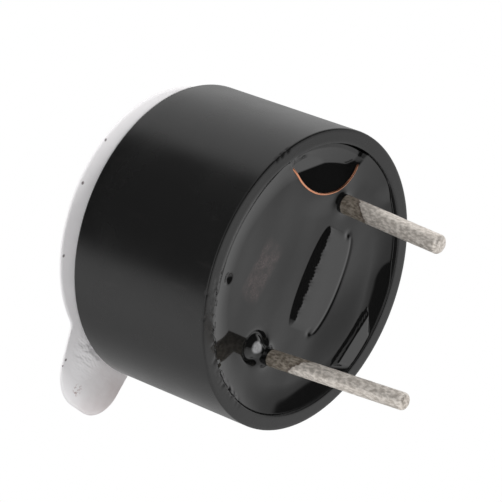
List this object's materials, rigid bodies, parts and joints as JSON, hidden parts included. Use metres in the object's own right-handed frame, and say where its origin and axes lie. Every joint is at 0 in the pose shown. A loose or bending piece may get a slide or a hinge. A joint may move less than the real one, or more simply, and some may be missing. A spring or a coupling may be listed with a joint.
{
  "type": "magnetic buzzer",
  "caption": "Round board-mounted magnetic buzzer: black cup case potted at the back, leaning tinned pins of unlike length, and a white peel-off seal over the sound hole.",
  "frame": {"origin": "centre of the case's open rim, on the seating plane where the part meets its circuit board", "axes": "+Z along the case's axis from the board to the sound port, +X from the long pin to the short pin"},
  "size_m": [0.0141, 0.0128, 0.0131],
  "materials": {
    "case_plastic": "satin moulded black polyphenylene plastic",
    "label_film": "white polyester film, adhesive side with specks of dust",
    "support_plastic": "moulded",
    "spring_iron": "rolled",
    "soft_iron": "bright turned and punched iron",
    "ferrite": "sintered",
    "enamelled_copper": "enamelled copper wire",
    "board_laminate": "paper laminate",
    "tinned_pin": "hot tinned, a little rough",
    "solder": "solder",
    "potting_resin": "glossy black epoxy, poured"
  },
  "bodies": {
    "root": {"case": "case_plastic", "sealing_label": "label_film", "support_ring": "support_plastic", "diaphragm": "spring_iron", "armature_weight": "soft_iron", "ring_magnet": "ferrite", "pole_core": "soft_iron", "coil_winding": "enamelled_copper", "yoke_plate": "soft_iron", "circuit_board": "board_laminate", "pin_long": "tinned_pin", "pin_short": "tinned_pin", "solder_long": "solder", "solder_short": "solder", "pad_solder_long": "solder", "pad_solder_short": "solder", "coil_lead_long": "enamelled_copper", "coil_lead_short": "enamelled_copper", "potting": "potting_resin"}
  },
  "joints": []
}
